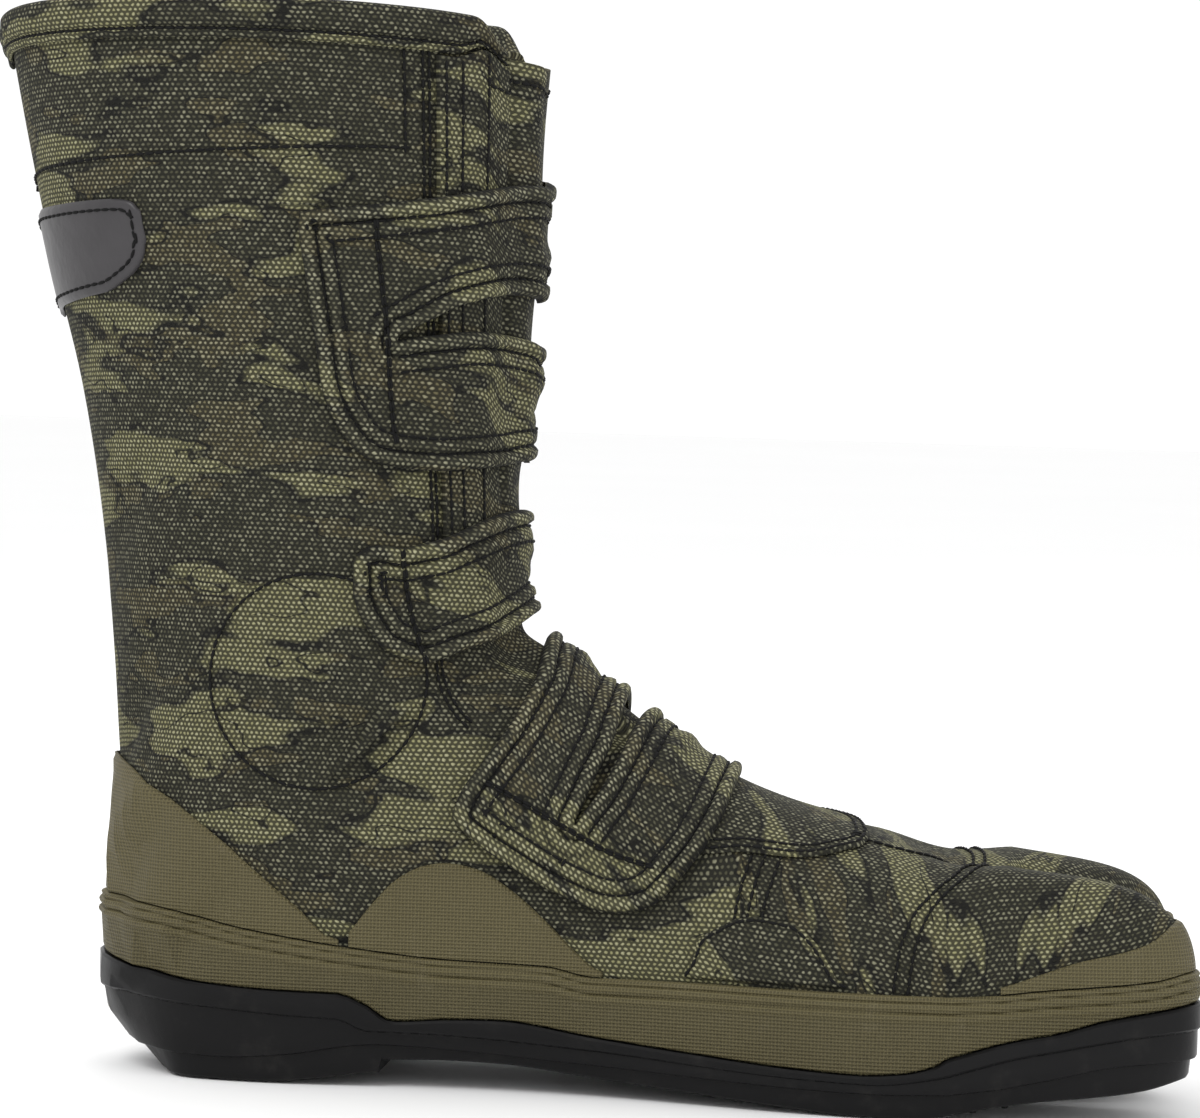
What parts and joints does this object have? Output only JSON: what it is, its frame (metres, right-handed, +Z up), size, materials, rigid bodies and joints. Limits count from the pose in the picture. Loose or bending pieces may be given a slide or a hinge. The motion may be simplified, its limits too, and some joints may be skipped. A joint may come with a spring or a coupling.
{
  "type": "jika tabi boot",
  "caption": "Split-toed canvas work boot with hook-and-loop straps over a gusset, rubber foxing and a low-heeled rubber sole.",
  "frame": {"origin": "on the ground in the middle of the face that the heel rests on", "axes": "+X to the toes, +Z up, +Y to the outer (little-toe) side"},
  "size_m": [0.315, 0.1014, 0.2729],
  "materials": {
    "canvas": "coarse duck canvas with a washed camouflage print",
    "strap_canvas": "double canvas with a bound edge and the same print",
    "binding": "folded canvas tape",
    "thread": "black sewing thread",
    "olive_rubber": "matt, fine cross-hatched texture",
    "black_rubber": "satin moulded rubber",
    "grey_tape": "satin coated tape",
    "insole_cloth": "matt woven sock lining"
  },
  "bodies": {
    "root": {"outsole": "black_rubber", "insole": "insole_cloth", "foxing": "olive_rubber", "heel_guard": "olive_rubber", "arch_guard": "olive_rubber", "toe_guard_big": "olive_rubber", "toe_guard_small": "olive_rubber", "upper": "canvas", "vamp_overlay": "canvas", "ball_patch": "canvas", "gusset": "canvas", "collar_binding": "binding", "strap_top": "strap_canvas", "strap_middle": "strap_canvas", "strap_instep": "strap_canvas", "back_reflector": "grey_tape"}
  },
  "joints": []
}
